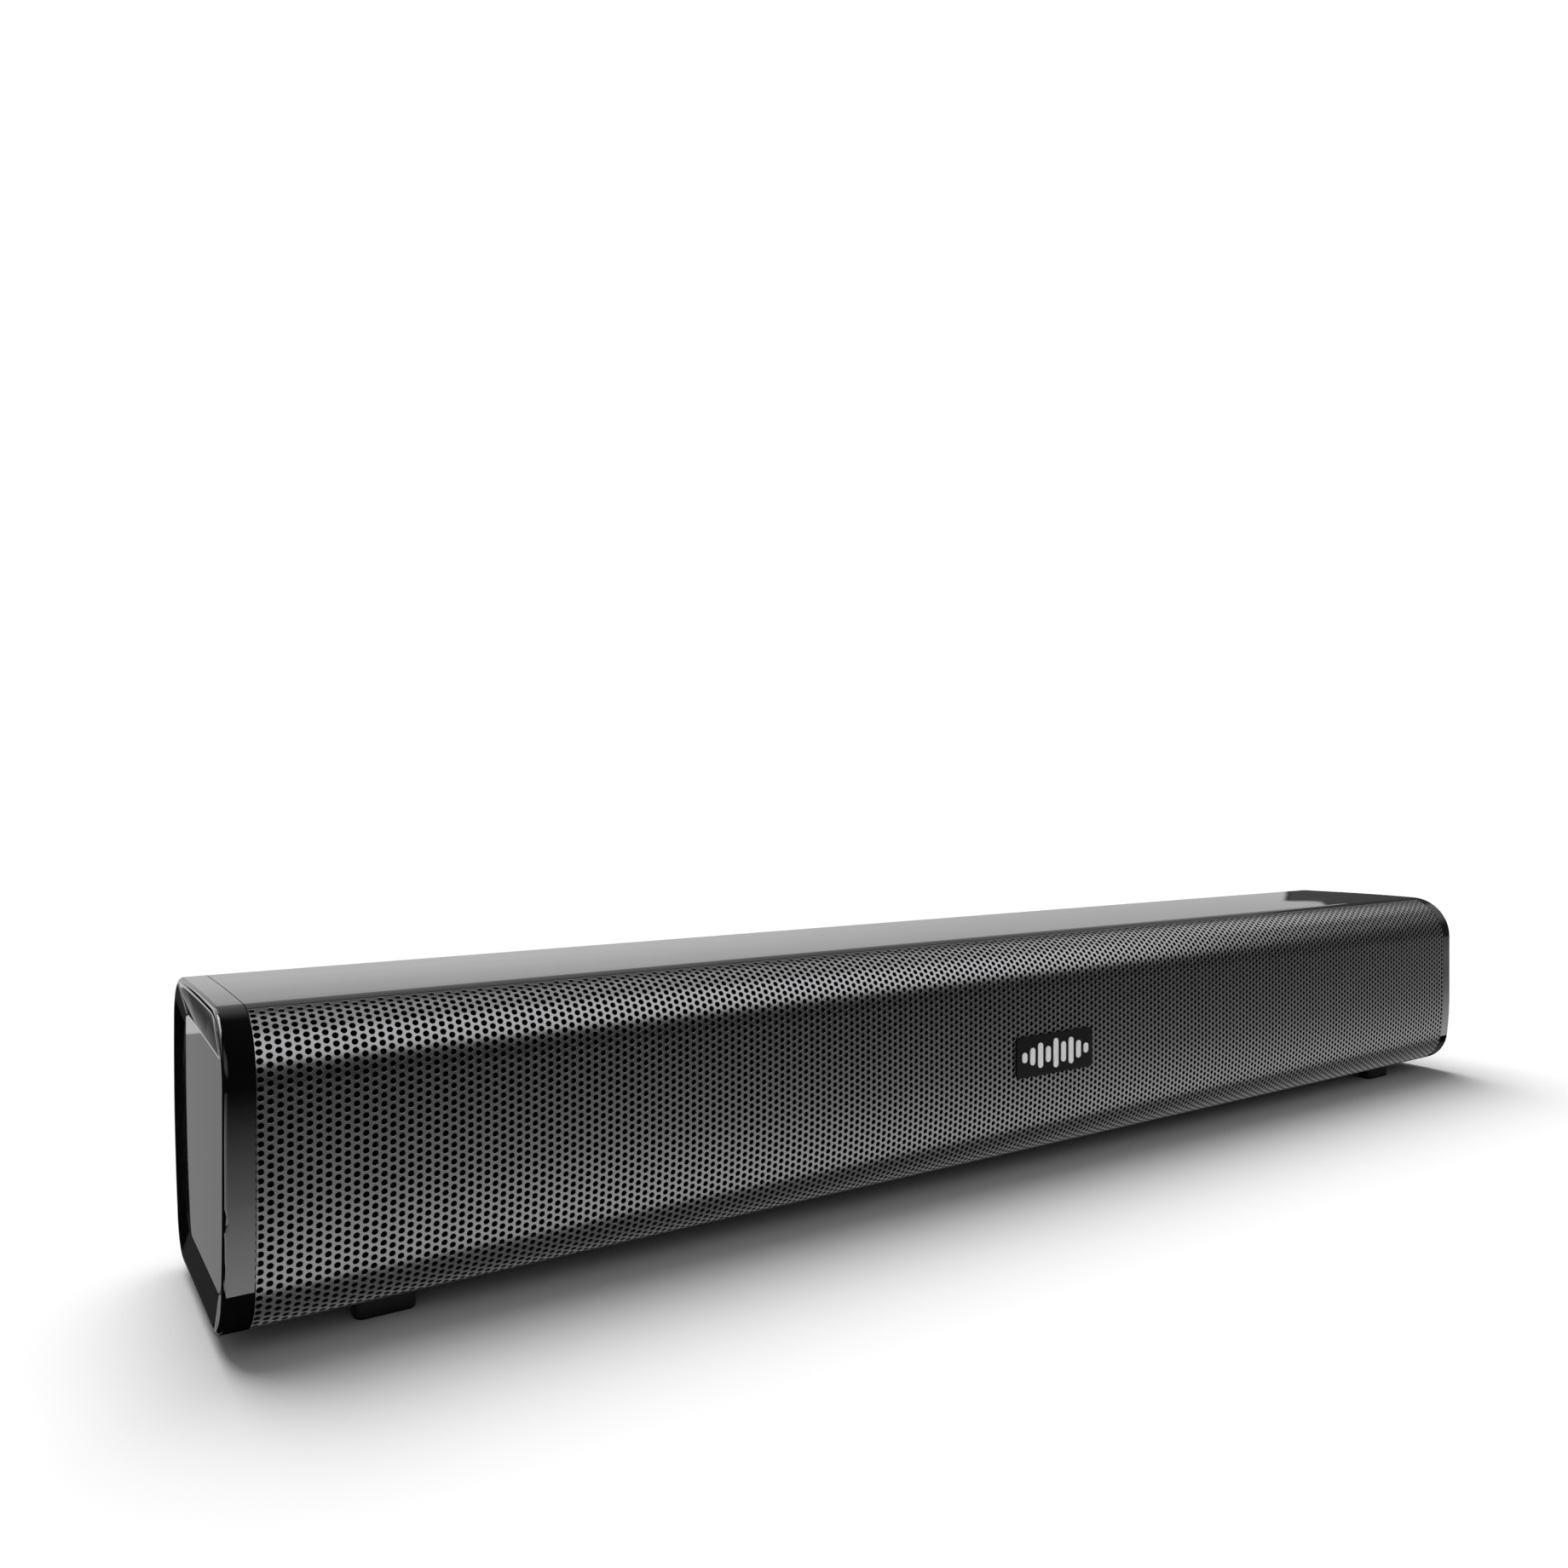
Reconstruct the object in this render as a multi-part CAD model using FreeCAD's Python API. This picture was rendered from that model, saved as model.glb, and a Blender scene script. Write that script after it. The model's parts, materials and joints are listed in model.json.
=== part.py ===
"""A compact soundbar: millimetres, +X along its length, -Y to its front, +Z up.

The origin is at the middle of the bounding box, on the surface that the feet stand on.
"""
import FreeCAD, Part
import math
import os

V = FreeCAD.Vector

# ---- driving dimensions -------------------------------------------------------------
half_length = 240.0
front_y = -39.55
back_y = 39.05
cover_proud = 1.5
underside_z = 3.7
top_z = 73.5
front_lean = 6.8
back_lean = 18.3
front_lean_z = 25.0
back_lean_z = 35.0
top_corner_r = 15.5
rear_corner_r = 12.0
foot_corner_r = 13.4

wall = 2.2
sheet = 0.8
cloth = 0.3
cap_x = 233.8
cover_gap = 0.25
shell_x = 233.6
grille_top_y = -28.15
grille_bottom_y = -29.3
seam_low_z = 11.0
seam_high_z = 56.0
cover_x = 239.5

cap_edge_r = 1.2
dish_depth = 1.4
panel_thick = 1.6
panel_seat_x = half_length - dish_depth - panel_thick
cap_floor_x = 235.0

badge_size = (33.5, 12.6)
badge_z = 37.3
badge_plate_thick = 0.75
badge_bar_thick = 0.25

foot_size = (14.0, 6.5)
foot_x = 204.0
foot_ys = {"front": -25.5, "rear": 20.0}

driver_x = 150.0
driver_z = 38.3
baffle_back_y = -30.5
baffle_thick = 3.0
baffle_x = 218.0
driver_hole_r = 23.5

button_zs = {"power": 52.0, "source": 42.0, "volume_up": 32.0, "volume_down": 22.0}
button_size = (11.0, 6.0)
button_face_x = 239.2
button_gap = 0.3
switch_top_x = 231.5

board_z = 19.0
board_thick = 1.6
board_x = 58.0
board_ys = (-12.0, 28.5)
socket_z = 27.0
socket_face_y = 31.2
recess_x = 52.5
recess_zs = (17.5, 38.5)
recess_y = 31.0

insert_x = 150.0
insert_z = 42.0
insert_y = 38.6
insert_length = 8.0
insert_r = 3.0
insert_hole_r = 2.1

post_xs = (90.0, 200.0)
post_screw_z = 47.0
post_screw_y = 38.4
case_screw = {"head_r": 2.75, "head": 1.2, "r": 1.5, "length": 8.0}
small_screw = {"head_r": 2.1, "head": 1.2, "r": 1.2, "length": 4.5}
driver_screw_offset = 19.25
flange_screws = ((-205.0, -24.0), (-70.0, -24.0), (70.0, -24.0), (205.0, -24.0))
cap_screws = ((-18.0, 17.0), (18.0, 17.0), (-18.0, 57.0), (18.0, 57.0))
X, Y, Z = V(1, 0, 0), V(0, 1, 0), V(0, 0, 1)


# ---- helpers ------------------------------------------------------------------------
def box(x0, x1, y0, y1, z0, z1):
    return Part.makeBox(x1 - x0, y1 - y0, z1 - z0, V(x0, y0, z0))


def rod(radius, start, end):
    start, end = V(*start), V(*end)
    return Part.makeCylinder(radius, (end - start).Length, start, end - start)


def pipe(outer, inner, start, end):
    return rod(outer, start, end).cut(rod(inner, start, end))


def join(shapes):
    first = shapes[0]
    return first.fuse(shapes[1:]).removeSplitter() if len(shapes) > 1 else first


def cut(shape, tools):
    return shape.cut(tools) if tools else shape


def mirrored(shape):
    return shape.mirror(V(0, 0, 0), X)


def save(name, shape):
    shape.exportStep("parts/" + name + ".step")
    print(name, len(shape.Solids), round(shape.Volume, 1), shape.isValid())


def turned(corners, i):
    """Unit directions from a corner to its neighbours, and half the angle between them."""
    here, before = corners[i], corners[i - 1]
    after = corners[(i + 1) % len(corners)]
    u = V(0, before[0] - here[0], before[1] - here[1]).normalize()
    w = V(0, after[0] - here[0], after[1] - here[1]).normalize()
    return u, w, u.getAngle(w) / 2


def inset(corners, depth):
    """The same rounded outline, moved inwards by depth all round."""
    moved = []
    for i, (y, z, r) in enumerate(corners):
        u, w, half = turned(corners, i)
        step = (u + w).normalize() * (depth / math.sin(half))
        moved.append((y + step.y, z + step.z, r - depth))
    return moved


def outline(corners, x):
    """Closed wire at x through a convex list of (y, z, corner radius)."""
    arcs = []
    for i, (y, z, r) in enumerate(corners):
        u, w, half = turned(corners, i)
        here = V(x, y, z)
        reach = r / math.tan(half)
        middle = here + (u + w).normalize() * (r / math.sin(half) - r)
        arcs.append((here + u * reach, middle, here + w * reach))
    edges = []
    for i, (start, middle, end) in enumerate(arcs):
        edges.append(Part.Arc(start, middle, end).toShape())
        edges.append(Part.LineSegment(end, arcs[(i + 1) % len(arcs)][0]).toShape())
    return Part.Wire(edges)


def slab(corners, x0, x1):
    return Part.Face(outline(corners, x0)).extrude(V(x1 - x0, 0, 0))


def ring(outer, inner, x0, x1):
    return slab(body_corners(outer), x0, x1).cut(slab(body_corners(inner), x0 - 1, x1 + 1))


def body_corners(depth=0.0):
    """The section of the bar: the flat top is barely crowned, front and back lean in."""
    front_low = front_y + (front_lean_z - underside_z) * math.tan(math.radians(front_lean))
    back_low = back_y - (back_lean_z - underside_z) * math.tan(math.radians(back_lean))
    corners = [
        (front_y, top_z - 0.3, top_corner_r),
        (-4.5, top_z, 1200.0),
        (back_y, top_z - 0.8, rear_corner_r),
        (back_y, back_lean_z, 130.0),
        (back_low, underside_z, rear_corner_r),
        (front_low, underside_z, foot_corner_r),
        (front_y, front_lean_z, 150.0),
    ]
    return inset(corners, depth) if depth else corners


def panel_corners():
    """The side panel, set in unevenly: more room above and in front than behind."""
    return [
        (-29.55, 62.3, 5.0),
        (0.0, 63.6, 800.0),
        (28.65, 64.4, 7.0),
        (33.45, 42.0, 45.0),
        (27.7, 11.0, 14.0),
        (-27.9, 11.0, 5.0),
        (-29.55, 25.0, 30.0),
    ]


def screw(kind, seat, towards):
    """A pan-head screw whose head stands on seat; its shank runs along towards."""
    base, way = V(*seat), V(*towards)
    head = Part.makeCylinder(kind["head_r"], kind["head"], base - way * kind["head"], way)
    shank = Part.makeCylinder(kind["r"], kind["length"], base, way)
    across = (V(0, 0, 1) if abs(way.z) < 0.5 else V(1, 0, 0)).cross(way)
    other = across.cross(way)
    slot_half, slot_wide, slot_deep = kind["head_r"] * 0.6, 0.35, 0.7
    solids = join([head, shank])
    for a, b in ((across, other), (other, across)):
        corner = base - way * (kind["head"] + 0.1) - a * slot_half - b * slot_wide
        ends = [corner, corner + a * (2 * slot_half)]
        ends += [ends[1] + b * (2 * slot_wide), corner + b * (2 * slot_wide)]
        solids = solids.cut(Part.Face(Part.makePolygon(ends + [corner])).extrude(way * slot_deep))
    return solids


def wire_tube(points, radius):
    """A round wire along straight runs joined by tangent arcs."""
    points = [V(*p) for p in points]
    edges, last = [], points[0]
    for before, here, after in zip(points, points[1:], points[2:]):
        u, w = (before - here), (after - here)
        shorter = min(u.Length, w.Length)
        u.normalize()
        w.normalize()
        half = u.getAngle(w) / 2
        reach = 0.45 * shorter
        bend = reach * math.tan(half)
        middle = here + (u + w).normalize() * (bend / math.sin(half) - bend)
        edges.append(Part.LineSegment(last, here + u * reach).toShape())
        edges.append(Part.Arc(here + u * reach, middle, here + w * reach).toShape())
        last = here + w * reach
        print("  wire bend radius", round(bend, 1))
    edges.append(Part.LineSegment(last, points[-1]).toShape())
    path = Part.Wire(edges)
    start = path.Edges[0].tangentAt(path.Edges[0].FirstParameter)
    section = Part.Wire(Part.makeCircle(radius, points[0], start))
    solid = path.makePipeShell([section], True, False)
    print("  wire volume ratio", round(solid.Volume / (path.Length * math.pi * radius ** 2), 4))
    return solid


# ---- outer skin ---------------------------------------------------------------------
def front_grille():
    skin = ring(0.0, sheet, -shell_x, shell_x)
    skin = skin.cut([box(-300, 300, grille_top_y, 60, 38, 90), box(-300, 300, grille_bottom_y, 60, -5, 38)])
    return skin.cut(badge_pins(0.75))


def dust_cloth():
    skin = ring(sheet, sheet + cloth, -232.5, 232.5)
    behind = 0.6
    return skin.cut([
        box(-300, 300, grille_top_y - behind, 60, 38, 90),
        box(-300, 300, grille_bottom_y - behind, 60, -5, 38),
    ] + badge_pins(0.75))


def top_cover():
    skin = ring(0.0, wall, -shell_x, shell_x)
    skin = skin.cut([
        box(-300, 300, -60, 60, -5, 40),
        box(-300, 300, -60, grille_top_y + cover_gap, 39, 90),
        box(-300, 300, 0, 60, 39, seam_high_z + 0.1),
    ])
    bosses = [rod(3.0, (x, y, 68.0), (x, y, 72.0)) for x, y in flange_screws]
    pilots = [rod(case_screw["r"], (x, y, 67.0), (x, y, 72.3)) for x, y in flange_screws]
    return cut(join([skin] + bosses), pilots)


def rear_cover():
    lip = ring(-cover_proud, 0.0, -cover_x, cover_x)
    core = ring(0.0, cover_proud, -shell_x, shell_x)
    skin = join([lip, core]).cut([
        box(-300, 300, -60, 10, -5, 90),
        box(-300, 300, 5, 60, -5, seam_low_z + 0.1),
        box(-300, 300, 5, 60, seam_high_z, 90),
    ])
    skin = skin.makeFillet(0.6, end_edges(skin))
    bosses = [rod(5.0, (s * insert_x, 29.6, insert_z), (s * insert_x, insert_y, insert_z)) for s in (-1, 1)]
    skin = join([skin] + bosses)
    holes = [box(-recess_x, recess_x, 20, 60, recess_zs[0], recess_zs[1])]
    for s in (-1, 1):
        holes.append(rod(4.6, (s * insert_x, insert_y, insert_z), (s * insert_x, 50, insert_z)))
        holes.append(rod(insert_r, (s * insert_x, 30.6, insert_z), (s * insert_x, 39, insert_z)))
        for x in post_xs:
            holes.append(rod(3.1, (s * x, post_screw_y, post_screw_z), (s * x, 50, post_screw_z)))
            holes.append(rod(1.6, (s * x, 30, post_screw_z), (s * x, 40, post_screw_z)))
    return cut(skin, holes)


def end_edges(cover):
    """The edges round the cover's two ends that lie on its outer face."""
    under_face = slab(body_corners(0.05 - cover_proud), -half_length, half_length)
    chosen = []
    for edge in cover.Edges:
        middle = edge.valueAt((edge.FirstParameter + edge.LastParameter) / 2)
        at_end = abs(abs(middle.x) - cover_x) < 1e-3 and abs(edge.BoundBox.XLength) < 1e-3
        if at_end and not under_face.isInside(middle, 1e-6, True):
            chosen.append(edge)
    return chosen


def bottom_housing():
    tray = ring(0.0, wall, -shell_x, shell_x).cut([
        box(-300, 300, -60, grille_bottom_y + 0.1, -5, 90),
        box(-300, 300, -60, 60, seam_low_z, 90),
    ])
    inside = slab(body_corners(2.6), -230, 230)
    pieces = [tray]
    for s in (-1, 1):
        wall_x = sorted((s * 219.0, s * 221.0))
        pieces.append(inside.common(box(*wall_x, -29, 60, 5, 80)))
        pieces.append(slab(body_corners(1.5), *wall_x).common(box(-300, 300, -20, 20, 3, 8)))
        for x in post_xs:
            post = inside.common(box(s * x - 4, s * x + 4, 29, 37.0, 6.2, 52))
            toe = slab(body_corners(1.5), -230, 230).common(box(s * x - 4, s * x + 4, 16, 35, 3, 12))
            pieces += [post, toe]
        for y, z in cap_screws:
            pieces.append(rod(3.2, (s * 220, y, z), (s * (cap_floor_x - 0.1), y, z)))
    for x, y in standoffs():
        pieces.append(rod(3.0, (x, y, 5), (x, y, board_z)))
    tools = []
    for s in (-1, 1):
        for x in post_xs:
            tools.append(rod(1.5, (s * x, 29.5, post_screw_z), (s * x, 40, post_screw_z)))
        for y, z in cap_screws:
            tools.append(rod(1.5, (s * 225, y, z), (s * 240, y, z)))
    tools.append(rod(2.0, (215, 4, 30), (225, 4, 30)))
    for x, y in standoffs():
        tools.append(rod(1.2, (x, y, 12), (x, y, 20)))
    for x, y in flange_screws:
        tools.append(rod(1.6, (x, y, 3), (x, y, 7)))
        tools.append(rod(3.0, (x, y, 3), (x, y, underside_z + case_screw["head"] + 0.1)))
    return cut(join(pieces), tools)


def standoffs():
    return [(x, y) for x in (-52.0, 52.0) for y in (-8.0, 14.0)]


def front_baffle():
    plate_front = baffle_back_y - baffle_thick
    pieces = [box(-baffle_x, baffle_x, plate_front, baffle_back_y, 8.6, 68.0)]
    pieces.append(box(-baffle_x, baffle_x, plate_front, -20, 66.0, 68.0))
    pieces.append(box(-baffle_x, baffle_x, plate_front, -20, 8.6, 10.6))
    pieces += [rod(3.0, (x, y, underside_z + wall), (x, y, 12.0)) for x, y in flange_screws]
    tools = []
    for x, y in flange_screws:
        tools.append(rod(1.5, (x, y, 5), (x, y, 13)))
        tools.append(rod(1.6, (x, y, 65), (x, y, 69)))
    for s in (-1, 1):
        centre = s * driver_x
        tools.append(rod(driver_hole_r, (centre, -40, driver_z), (centre, -20, driver_z)))
    for x, z in driver_screw_places():
        tools.append(rod(small_screw["r"], (x, -33.3, z), (x, -30, z)))
    tools.append(rod(1.0, (52, -40, 24), (52, -20, 24)))
    for x, z in receiver_screws():
        tools.append(rod(small_screw["r"], (x, -40, z), (x, -20, z)))
    return cut(join(pieces), tools)


def terminal_plate():
    outer = box(-recess_x - 1.5, recess_x + 1.5, recess_y - 1.5, 45, recess_zs[0] - 1.5, recess_zs[1] + 1.5)
    inner = box(-recess_x, recess_x, recess_y, 50, recess_zs[0], recess_zs[1])
    tray = outer.cut(inner).common(slab(body_corners(cover_proud), -100, 100))
    return cut(tray, [s.common(box(-60, 60, 28, 31.6, 0, 60)) for s in socket_bodies().values()])


def end_cap():
    """The right cap; the left one is its mirror image without button holes."""
    block = slab(body_corners(), cap_x, half_length)
    rim = [e for e in block.Edges if all(abs(v.Point.x - half_length) < 1e-6 for v in e.Vertexes)]
    block = block.makeFillet(cap_edge_r, rim)
    skirt = ring(wall + 0.2, 3.5, 230.0, cap_x + 0.5)
    block = join([block, skirt])
    rim_wire = outline(body_corners(cap_edge_r + 0.3), half_length)
    panel_wire = outline(panel_corners(), half_length - dish_depth)
    dish = Part.makeLoft([rim_wire, panel_wire], True, True)
    tools = [dish, slab(panel_corners(), panel_seat_x, half_length)]
    tools.append(slab(body_corners(3.5), 229.0, cap_floor_x))
    for y, z in cap_screws:
        tools.append(rod(1.6, (230, y, z), (240, y, z)))
        tools.append(rod(3.0, (panel_seat_x - case_screw["head"] - 0.1, y, z), (240, y, z)))
    return cut(block, tools)


def end_panel():
    face_x = half_length - dish_depth
    panel = slab(inset(panel_corners(), 0.12), panel_seat_x, face_x)
    rim = [e for e in panel.Edges if all(abs(v.Point.x - face_x) < 1e-6 for v in e.Vertexes)]
    return panel.makeChamfer(0.3, rim)


def stadium(z, width, height, x0, x1):
    """A pill-shaped block along X, centred on Y = 0."""
    r = height / 2
    reach = width / 2 - r
    middle = box(x0, x1, -reach, reach, z - r, z + r)
    ends = [rod(r, (x0, s * reach, z), (x1, s * reach, z)) for s in (-1, 1)]
    return join([middle] + ends)


def button_holes():
    width, height = button_size
    grow = 2 * button_gap
    return [stadium(z, width + grow, height + grow, 230, 241) for z in button_zs.values()]


def button(z):
    width, height = button_size
    head = stadium(z, width, height, cap_floor_x - 1, button_face_x)
    rim = [e for e in head.Edges if all(abs(v.Point.x - button_face_x) < 1e-6 for v in e.Vertexes)]
    head = head.makeFillet(0.5, rim)
    flange = stadium(z, width + 2.4, height + 2.4, 233.8, cap_floor_x - 0.15)
    return join([head, flange, rod(1.6, (232.4, 0, z), (234, 0, z))])


def badge_pins(radius):
    """Two pins that hold the badge, through holes of the grille."""
    back = front_y + 3.0
    return [rod(radius, (s * 11.64, front_y - 0.1, badge_z), (s * 11.64, back, badge_z)) for s in (-1, 1)]


def rounded_plate(x0, x1, z0, z1, y0, y1, r):
    plate = box(x0, x1, y0, y1, z0, z1)
    upright = [e for e in plate.Edges if abs(e.tangentAt(e.FirstParameter).y) > 0.9]
    return plate.makeFillet(r, upright)


def badge_plate():
    w, h = badge_size
    face = front_y - badge_plate_thick
    plate = rounded_plate(-w / 2, w / 2, badge_z - h / 2, badge_z + h / 2, face, front_y, 1.5)
    return join([plate] + [p.common(box(-50, 50, face, front_y + 1.6, 0, 80)) for p in badge_pins(0.65)])


def badge_bars():
    """Nine level bars, a plain picture of sound that is nobody's mark."""
    heights = (3.2, 5.4, 7.8, 5.0, 9.2, 6.4, 8.4, 5.6, 3.2)
    pitch, half = 3.4, 1.05
    face = front_y - badge_plate_thick
    bars = []
    for i, h in enumerate(heights):
        x = (i - len(heights) // 2) * pitch
        low, high = badge_z - h / 2, badge_z + h / 2
        bars.append(rounded_plate(x - half, x + half, low, high, face - badge_bar_thick, face, half - 0.05))
    return Part.makeCompound(bars)


def foot(x, y):
    w, d = foot_size
    pad = box(x - w / 2, x + w / 2, y - d / 2, y + d / 2, 0, 7)
    pad = pad.makeFillet(2.0, [e for e in pad.Edges if abs(e.tangentAt(e.FirstParameter).z) > 0.9])
    pad = pad.makeFillet(0.7, [e for e in pad.Edges if e.BoundBox.ZMax < 0.01])
    return pad.cut(slab(body_corners(), x - 20, x + 20))


# ---- loudspeakers -------------------------------------------------------------------
def spun(profile, centre):
    """A ring or disc from (radius, depth behind the baffle) points, turned about Y."""
    points = [V(centre + r, baffle_back_y + s, driver_z) for r, s in profile]
    face = Part.Face(Part.makePolygon(points + [points[0]]))
    return face.revolve(V(centre, 0, driver_z), Y, 360)


def driver_frame(centre):
    outer = [(21.9, 0), (29, 0), (29, 1.5), (25, 1.5), (19, 13.5), (19, 16), (9.6, 16), (9.6, 14.5)]
    inner = [(17.3, 14.5), (17.3, 13.5), (15.3, 13.5), (15.3, 12), (17.8, 12), (23.1, 1.5), (21.9, 1.5)]
    basket = spun(outer + inner, centre)
    trim = 26.3
    basket = basket.common(box(centre - 30, centre + 30, -60, 20, driver_z - trim, driver_z + trim))
    y0, y1 = baffle_back_y + 3.5, baffle_back_y + 11
    windows = [box(centre - 8, centre + 8, y0, y1, driver_z - 30, driver_z + 30)]
    windows.append(box(centre - 30, centre + 30, y0, y1, driver_z - 8, driver_z + 8))
    hollow = rod(15.0, (centre, y0 - 1, driver_z), (centre, y1 + 1, driver_z))
    windows = [w.cut(hollow) for w in windows]
    inward = -1 if centre > 0 else 1
    lug = box(*sorted((centre + inward * 18.5, centre + inward * 24)),
              baffle_back_y + 12.6, baffle_back_y + 14.4, driver_z - 3, driver_z + 3)
    holes = [rod(1.3, (x, -31, z), (x, -20, z)) for x, z in driver_screw_places() if x * centre > 0]
    return cut(join([cut(basket, windows), lug]), holes)


def driver_screw_places():
    k = driver_screw_offset
    return [(s * driver_x + a * k, driver_z + b * k) for s in (-1, 1) for a in (-1, 1) for b in (-1, 1)]


def surround(centre):
    """The rubber half-roll between the frame and the cone."""
    def at(r, s):
        return V(centre + r, baffle_back_y + s, driver_z)
    edges = [Part.LineSegment(at(23.3, 0), at(23.3, -0.5)).toShape()]
    edges.append(Part.LineSegment(at(23.3, -0.5), at(22.0, -0.5)).toShape())
    edges.append(Part.Arc(at(22.0, -0.5), at(20.0, -2.3), at(18.0, -0.5)).toShape())
    edges.append(Part.LineSegment(at(18.0, -0.5), at(16.9, -0.5)).toShape())
    edges.append(Part.LineSegment(at(16.9, -0.5), at(16.9, 0)).toShape())
    edges.append(Part.LineSegment(at(16.9, 0), at(18.4, 0)).toShape())
    edges.append(Part.Arc(at(18.4, 0), at(20.0, -1.8), at(21.6, 0)).toShape())
    edges.append(Part.LineSegment(at(21.6, 0), at(23.3, 0)).toShape())
    return Part.Face(Part.Wire(edges)).revolve(V(centre, 0, driver_z), Y, 360)


def cone(centre):
    return spun([(8.3, 7.6), (16.9, 0), (18.0, 0), (18.0, 0.5), (17.4, 0.5), (8.3, 8.5)], centre)


def dust_cap(centre):
    """A shallow dome of even thickness, cut from two concentric balls."""
    rim_r, rim_s, apex_s, thick = 8.9, 6.95, 3.3, 0.5
    rise = rim_s - apex_s
    radius = (rim_r ** 2 + rise ** 2) / (2 * rise)
    middle = V(centre, baffle_back_y + apex_s + radius, driver_z)
    shell = Part.makeSphere(radius, middle).cut(Part.makeSphere(radius - thick, middle))
    rim_y = baffle_back_y + rim_s
    return shell.common(box(centre - 20, centre + 20, rim_y - 10, rim_y, driver_z - 20, driver_z + 20))


def spider(centre):
    """The corrugated centring disc: a zigzag of equal folds."""
    folds, inner, outer, thick, height = 6, 8.3, 15.3, 0.4, 0.7
    front = [(inner + (outer - inner) * i / folds, 11.6 - height * (i % 2)) for i in range(folds + 1)]
    back = [(r, s + thick) for r, s in reversed(front)]
    return spun(front + [(17.0, 11.6), (17.0, 12.0)] + back, centre)


def driver_pieces(side, centre):
    back = baffle_back_y
    pole_start = (centre, back + 16, driver_z)
    pole_end = (centre, back + 28, driver_z)
    plate_end = (centre, back + 31, driver_z)
    return {
        side + "_driver_frame": driver_frame(centre),
        side + "_top_plate": pipe(16.5, 8.7, pole_start, (centre, back + 19, driver_z)),
        side + "_magnet": pipe(20.0, 10.5, (centre, back + 19, driver_z), pole_end),
        side + "_pole_plate": join([rod(7.0, pole_start, pole_end), rod(16.5, pole_end, plate_end)]),
        side + "_cone": cone(centre),
        side + "_dust_cap": dust_cap(centre),
        side + "_voice_coil": pipe(8.3, 7.4, (centre, back + 7.3, driver_z), (centre, back + 21, driver_z)),
        side + "_surround": surround(centre),
        side + "_spider": spider(centre),
    }


# ---- electronics --------------------------------------------------------------------
def amplifier_board():
    board = box(-board_x, board_x, board_ys[0], board_ys[1], board_z, board_z + board_thick)
    return cut(board, [rod(1.3, (x, y, 15), (x, y, 25)) for x, y in standoffs()])


def socket_bodies():
    """Outer blocks of the rear sockets, standing on the board."""
    low = board_z + board_thick
    face = socket_face_y
    return {
        "subwoofer_socket": join([box(-47, -37, 19.5, 30.6, low, low + 12),
                                  rod(4.1, (-42, 30.6, socket_z), (-42, 38.0, socket_z))]),
        "power_inlet": box(-28.5, -19.5, face - 14, face, low, low + 11.5),
        "aux_socket": join([box(-10, -2, face - 13, face, low, low + 10.5),
                            rod(3.4, (-6, face, socket_z), (-6, face + 0.8, socket_z))]),
        "usb_socket": box(7.4, 20.6, face - 14, face, low, socket_z + 2.95),
        "optical_socket": box(31, 41, face - 13.5, face, low, low + 12),
    }


def sockets():
    bodies = socket_bodies()
    face = socket_face_y
    z = socket_z
    inlet_pin = rod(1.0, (-24, face - 10, z), (-24, face - 0.5, z))
    tongue = box(8.4, 19.6, face - 12, face - 1, z - 0.2, z + 1.6)
    ferrule = rod(2.0, (36, face - 6, z), (36, face - 3.2, z))
    hollows = {
        "subwoofer_socket": rod(1.65, (-42, 30.4, z), (-42, 39, z)),
        "power_inlet": rod(3.2, (-24, face - 9.5, z), (-24, 33, z)),
        "aux_socket": rod(1.85, (-6, face - 12, z), (-6, 33, z)),
        "usb_socket": box(7.75, 20.25, face - 12, 33, z - 2.55, z + 2.55),
        "optical_socket": box(31.8, 40.2, face - 6, 33, z - 4.2, z + 4.2),
    }
    inner_parts = {"power_inlet": inlet_pin, "usb_socket": tongue, "optical_socket": ferrule}
    made = {name: body.cut(hollows[name]) for name, body in bodies.items()}
    for name, piece in inner_parts.items():
        made[name] = made[name].fuse(piece)
    return made


def heat_sink():
    base_z = board_z + board_thick + 1.4
    pieces = [box(4, 36, -10, 8, base_z, base_z + 2)]
    pieces += [box(x, x + 1.4, -10, 8, base_z, base_z + 16) for x in range(4, 36, 5)]
    return join(pieces)


def filter_capacitors():
    low = board_z + board_thick
    return Part.makeCompound([rod(5.0, (x, 1, low), (x, 1, low + 18)) for x in (-44.0, -31.0, -18.0)])


def button_board():
    board = box(225.9, 227.5, -9, 9, 12, 61)
    return cut(board, [rod(1.3, (220, y, z), (230, y, z)) for y, z in button_board_screws()])


def button_board_screws():
    return [(-6.0, 58.0), (-6.0, 15.5)]


def button_switches():
    switches = []
    for z in button_zs.values():
        body = box(227.5, 231.0, -3, 3, z - 3, z + 3)
        switches.append(join([body, rod(1.7, (231, 0, z), (switch_top_x, 0, z))]))
    return Part.makeCompound(switches)


def receiver_board():
    board = box(42, 60, -34.7, -33.5, 18, 36)
    holes = [rod(1.3, (x, -40, z), (x, -20, z)) for x, z in receiver_screws()]
    return cut(board, holes + [rod(0.8, (52, -34.2, 24), (52, -33, 24))])


def receiver_screws():
    return [(45.0, 21.0), (57.0, 33.0)]


def infrared_receiver():
    body = box(46, 52, -36.7, -34.7, 27, 34)
    lens = Part.makeSphere(2.2, V(49, -35.9, 30.5)).common(box(40, 60, -39, -35.5, 20, 40))
    return join([body, lens])


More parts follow.
